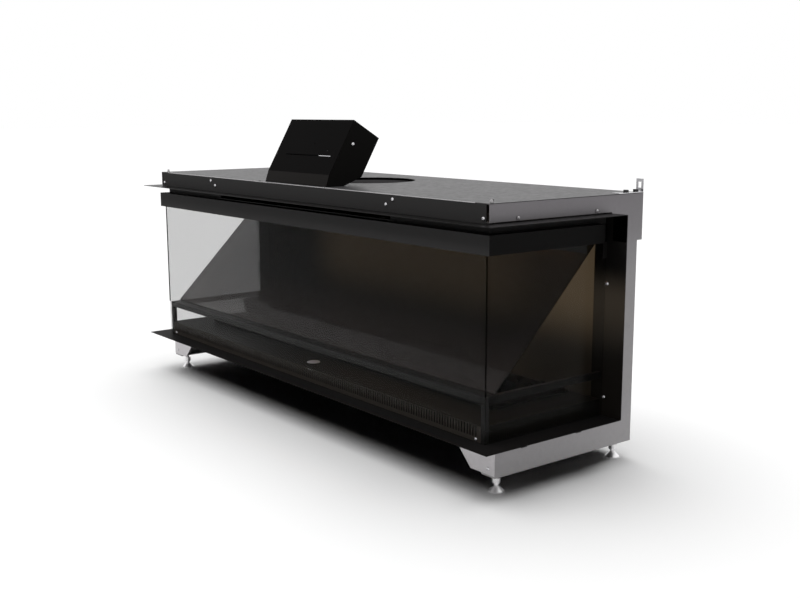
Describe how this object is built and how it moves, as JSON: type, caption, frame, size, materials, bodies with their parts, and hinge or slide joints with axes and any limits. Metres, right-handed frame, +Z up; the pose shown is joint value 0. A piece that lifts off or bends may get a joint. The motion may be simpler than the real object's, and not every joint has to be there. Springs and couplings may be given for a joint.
{
  "type": "three-sided electric fireplace",
  "caption": "Built-in electric fireplace with glass on three sides, an inclined mirror glass over a log bed, a hooded projector on top and levelling feet.",
  "frame": {"origin": "middle of the part's footprint, on the floor under the levelling feet", "axes": "+X to the right seen from the front, +Y from the front glass to the wall behind, +Z up"},
  "size_m": [1.91, 0.619, 0.9453],
  "materials": {
    "galvanised": "galvanised sheet steel, satin",
    "black_coat": "black powder coat on sheet steel, satin",
    "housing_coat": "deep black powder coat, matt",
    "clear_glass": "clear toughened glass, lightly tinted",
    "mirror_glass": "dark semi-reflecting glass",
    "frosted_screen": "frosted acrylic sheet",
    "zinc_plate": "bright zinc plated steel",
    "button_steel": "brushed stainless steel",
    "dark_plastic": "moulded, matt",
    "lens_glass": "coated lens, polished",
    "wheel_alloy": "plain aluminium",
    "element_alloy": "heat-tinted aluminium fins",
    "ember_resin": "moulded resin, matt",
    "charred_bark": "moulded resin with a charred bark texture"
  },
  "bodies": {
    "root": {"air_grille": "black_coat", "back_panel": "black_coat", "base_gusset_left": "galvanised", "base_gusset_right": "galvanised", "blower_housing": "galvanised", "blower_motor": "dark_plastic", "bottom_plate": "black_coat", "button_bezel": "button_steel", "ceiling_panel": "black_coat", "control_box": "dark_plastic", "corner_post_left": "black_coat", "corner_post_right": "black_coat", "deck": "black_coat", "ember_bed": "ember_resin", "floor_pan": "galvanised", "front_glass": "clear_glass", "front_rail": "black_coat", "heating_element": "element_alloy", "log_1": "charred_bark", "log_2": "charred_bark", "log_3": "charred_bark", "log_4": "charred_bark", "lower_fascia": "black_coat", "mains_inlet": "dark_plastic", "mirror_glass": "mirror_glass", "mirror_ledge": "black_coat", "mirror_top_holder": "black_coat", "outlet_neck": "black_coat", "projection_screen": "frosted_screen", "projector_cradle": "galvanised", "projector_housing": "housing_coat", "rear_light_bar": "black_coat", "rear_panel": "galvanised", "rear_top_panel": "galvanised", "side_frame_left": "galvanised", "side_frame_right": "galvanised", "side_glass_left": "clear_glass", "side_glass_right": "clear_glass", "side_rail_left": "black_coat", "side_rail_right": "black_coat", "side_trim_left": "black_coat", "side_trim_right": "black_coat", "top_cover": "galvanised", "top_fascia": "black_coat", "top_trim": "black_coat", "vent_dish": "galvanised"},
    "front_right_pad": {"foot_pad_front_right": "zinc_plate"},
    "front_right_stem": {"foot_stem_front_right": "zinc_plate"},
    "front_left_pad": {"foot_pad_front_left": "zinc_plate"},
    "front_left_stem": {"foot_stem_front_left": "zinc_plate"},
    "rear_right_pad": {"foot_pad_rear_right": "zinc_plate"},
    "rear_right_stem": {"foot_stem_rear_right": "zinc_plate"},
    "rear_left_pad": {"foot_pad_rear_left": "zinc_plate"},
    "rear_left_stem": {"foot_stem_rear_left": "zinc_plate"},
    "blower_wheel": {"blower_rotor": "wheel_alloy"},
    "button_cap": {"push_button": "button_steel"},
    "projector": {"projector": "dark_plastic", "projector_lens": "lens_glass"},
    "bracket_right": {"wall_bracket_right": "zinc_plate"},
    "bracket_left": {"wall_bracket_left": "zinc_plate"}
  },
  "joints": [
    {"name": "front_right_foot_height", "type": "slide", "parent": "root", "child": "front_right_pad", "axis": [0, 0, 1], "range_m": [-0.015, 0.0105]},
    {"name": "front_right_stem_turn", "type": "hinge", "parent": "front_right_pad", "child": "front_right_stem", "pos_m": [0.87, -0.1985, 0.0455], "axis": [0, 0, 1], "range_deg": [-3601, 2521]},
    {"name": "front_left_foot_height", "type": "slide", "parent": "root", "child": "front_left_pad", "axis": [0, 0, 1], "range_m": [-0.015, 0.0105]},
    {"name": "front_left_stem_turn", "type": "hinge", "parent": "front_left_pad", "child": "front_left_stem", "pos_m": [-0.87, -0.1985, 0.0455], "axis": [0, 0, 1], "range_deg": [-3601, 2521]},
    {"name": "rear_right_foot_height", "type": "slide", "parent": "root", "child": "rear_right_pad", "axis": [0, 0, 1], "range_m": [-0.015, 0.0105]},
    {"name": "rear_right_stem_turn", "type": "hinge", "parent": "rear_right_pad", "child": "rear_right_stem", "pos_m": [0.87, 0.2515, 0.0455], "axis": [0, 0, 1], "range_deg": [-3601, 2521]},
    {"name": "rear_left_foot_height", "type": "slide", "parent": "root", "child": "rear_left_pad", "axis": [0, 0, 1], "range_m": [-0.015, 0.0105]},
    {"name": "rear_left_stem_turn", "type": "hinge", "parent": "rear_left_pad", "child": "rear_left_stem", "pos_m": [-0.87, 0.2515, 0.0455], "axis": [0, 0, 1], "range_deg": [-3601, 2521]},
    {"name": "blower_spin", "type": "hinge", "parent": "root", "child": "blower_wheel", "pos_m": [0, 0.2527, 0.68], "axis": [1, 0, 0], "continuous": true},
    {"name": "button_press", "type": "slide", "parent": "root", "child": "button_cap", "axis": [0, 0, -1], "range_m": [0, 0.0025], "stiffness_N_per_m": 800, "springref_m": -0.002},
    {"name": "projector_tilt", "type": "hinge", "parent": "root", "child": "projector", "pos_m": [0, -0.14108, 0.8385], "axis": [1, 0, 0], "range_deg": [-3, 3]},
    {"name": "bracket_right_slide", "type": "slide", "parent": "root", "child": "bracket_right", "axis": [0, 1, 0], "range_m": [0, 0.03]},
    {"name": "bracket_left_slide", "type": "slide", "parent": "root", "child": "bracket_left", "axis": [0, 1, 0], "range_m": [0, 0.03]}
  ],
  "couplings": [
    {"joint": "front_right_stem_turn", "follows": "front_right_foot_height", "rad_per_m": 4188.8},
    {"joint": "front_left_stem_turn", "follows": "front_left_foot_height", "rad_per_m": 4188.8},
    {"joint": "rear_right_stem_turn", "follows": "rear_right_foot_height", "rad_per_m": 4188.8},
    {"joint": "rear_left_stem_turn", "follows": "rear_left_foot_height", "rad_per_m": 4188.8}
  ]
}
